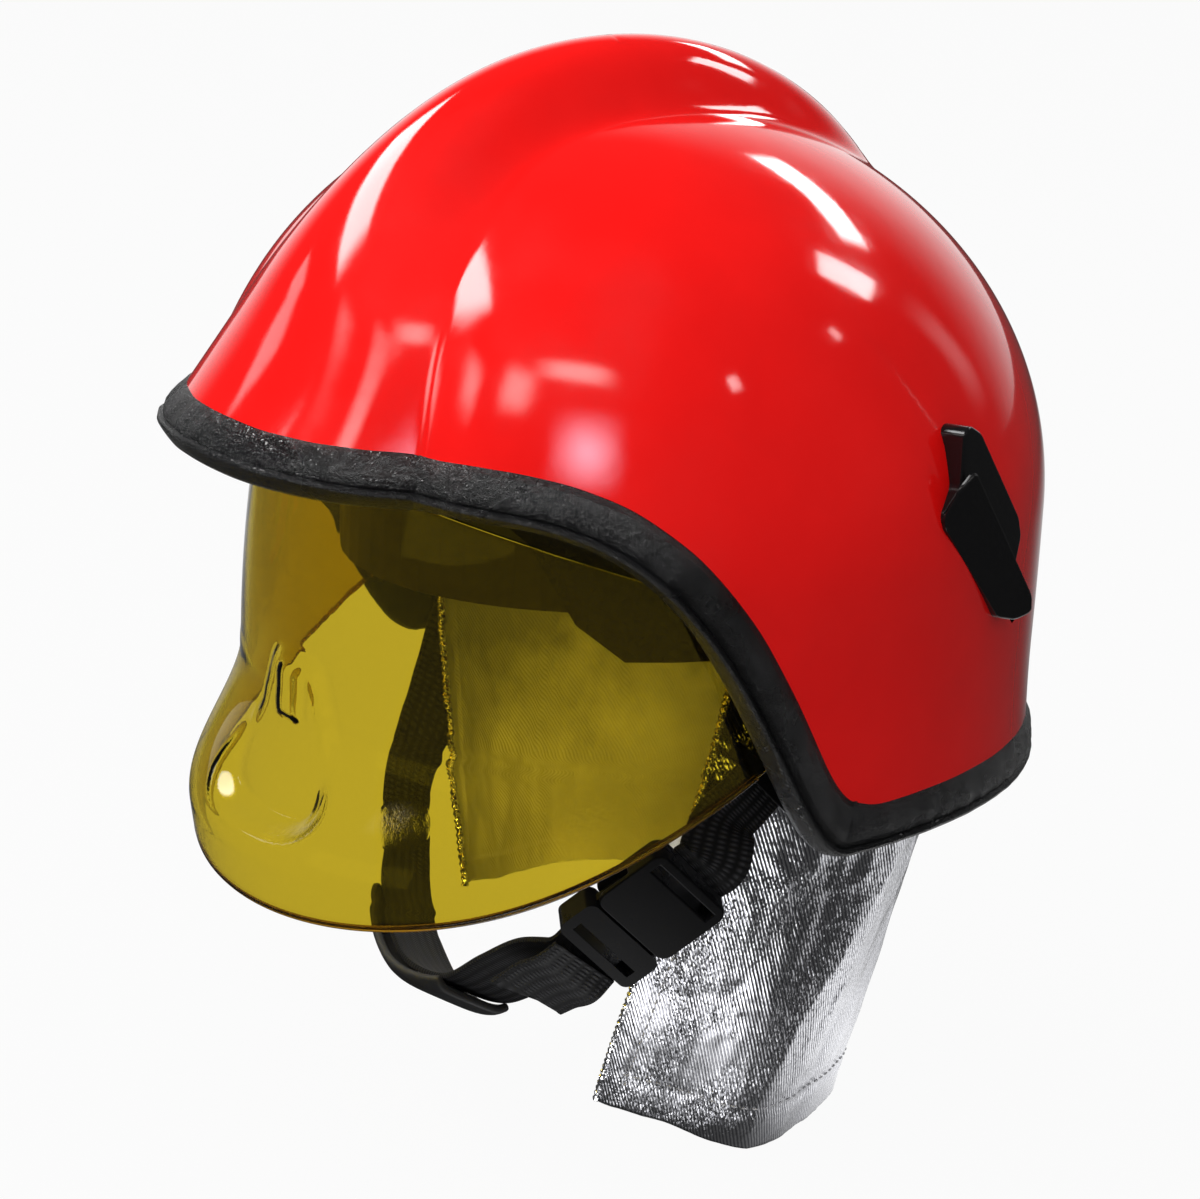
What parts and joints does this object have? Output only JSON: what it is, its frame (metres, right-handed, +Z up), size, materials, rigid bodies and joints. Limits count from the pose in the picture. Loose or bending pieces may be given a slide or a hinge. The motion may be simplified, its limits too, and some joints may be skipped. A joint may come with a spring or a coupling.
{
  "type": "fire helmet",
  "caption": "Crested full-shell fire helmet with a swinging amber visor, adjustable head harness, chin strap with cup, lamp bracket and aluminised neck curtain.",
  "frame": {"origin": "in the helmet's middle plane and the headband's plane, under the crown, at the head seat", "axes": "the wearer faces -Y, +X is the wearer's left, +Z is up"},
  "size_m": [0.2534, 0.2935, 0.3425],
  "materials": {
    "shell": "glossy lacquer",
    "edge_leatherette": "grained, satin",
    "bracket_plastic": "glossy, moulded",
    "fastener_steel": "satin",
    "liner_foam": "moulded foam",
    "pad_fabric": "knitted",
    "webbing": "ribbed weave",
    "harness_plastic": "fine texture",
    "sweatband_leather": "perforated, matte",
    "adjuster_plastic": "moulded",
    "pinion_plastic": "smooth",
    "visor_lens": "clear amber",
    "arm_plastic": "fine texture",
    "washer_rubber": "matte",
    "anchor_steel": "satin",
    "buckle_plastic": "moulded",
    "cup_rubber": "moulded, soft",
    "curtain_fabric": "aluminised twill",
    "rail_plastic": "smooth"
  },
  "bodies": {
    "helmet": {"outer_shell": "shell", "edge_trim": "edge_leatherette", "lamp_bracket": "bracket_plastic", "lamp_bracket_screws": "fastener_steel", "impact_liner": "liner_foam", "crown_pad": "pad_fabric", "cradle_webbing": "webbing", "headband": "harness_plastic", "headband_clips": "harness_plastic", "sweatband": "sweatband_leather", "adjuster_cover": "adjuster_plastic", "adjuster_housing": "adjuster_plastic", "nape_pad": "pad_fabric", "pivot_pin_left": "fastener_steel", "pivot_pin_right": "fastener_steel", "pivot_bracket_left": "arm_plastic", "pivot_bracket_right": "arm_plastic", "friction_washer_left": "washer_rubber", "friction_washer_right": "washer_rubber", "strap_anchor_left": "anchor_steel", "strap_anchor_right": "anchor_steel", "anchor_screws": "fastener_steel", "side_strap": "webbing", "buckle_socket": "buckle_plastic", "neck_curtain": "curtain_fabric", "curtain_rail": "rail_plastic", "curtain_studs": "fastener_steel"},
    "visor": {"visor_lens": "visor_lens", "visor_arm_left": "arm_plastic", "visor_arm_right": "arm_plastic", "visor_screws": "fastener_steel"},
    "size_knob": {"adjuster_knob": "adjuster_plastic", "adjuster_pinion": "pinion_plastic"},
    "left_rack": {"rack_left": "harness_plastic"},
    "right_rack": {"rack_right": "harness_plastic"},
    "chin_side": {"chin_strap": "webbing", "strap_tail": "webbing", "chin_cup": "cup_rubber", "buckle_tongue": "buckle_plastic"},
    "keeper": {"strap_keeper": "buckle_plastic"}
  },
  "joints": [
    {"name": "visor_swing", "type": "hinge", "parent": "helmet", "child": "visor", "pos_m": [0, 0.012, -0.005], "axis": [-1, 0, 0], "range_deg": [0, 34]},
    {"name": "chin_swing", "type": "hinge", "parent": "helmet", "child": "chin_side", "pos_m": [-0.10115, 0.04305, -0.03401], "axis": [0.0623, 0.7534, -0.6546], "range_deg": [0, 17]},
    {"name": "keeper_slide", "type": "slide", "parent": "helmet", "child": "keeper", "axis": [-0.1244, -0.6844, -0.7184], "range_m": [-0.004, 0.0045]},
    {"name": "knob_turn", "type": "hinge", "parent": "helmet", "child": "size_knob", "pos_m": [0, 0.123, 0], "axis": [0, 1, 0], "range_deg": [0, 70]},
    {"name": "rack_left_slide", "type": "slide", "parent": "helmet", "child": "left_rack", "axis": [1, 0, 0], "range_m": [0, 0.0062]},
    {"name": "rack_right_slide", "type": "slide", "parent": "helmet", "child": "right_rack", "axis": [-1, 0, 0], "range_m": [0, 0.0062]}
  ],
  "couplings": [
    {"joint": "rack_left_slide", "follows": "knob_turn", "m_per_rad": 0.005},
    {"joint": "rack_right_slide", "follows": "knob_turn", "m_per_rad": 0.005}
  ]
}
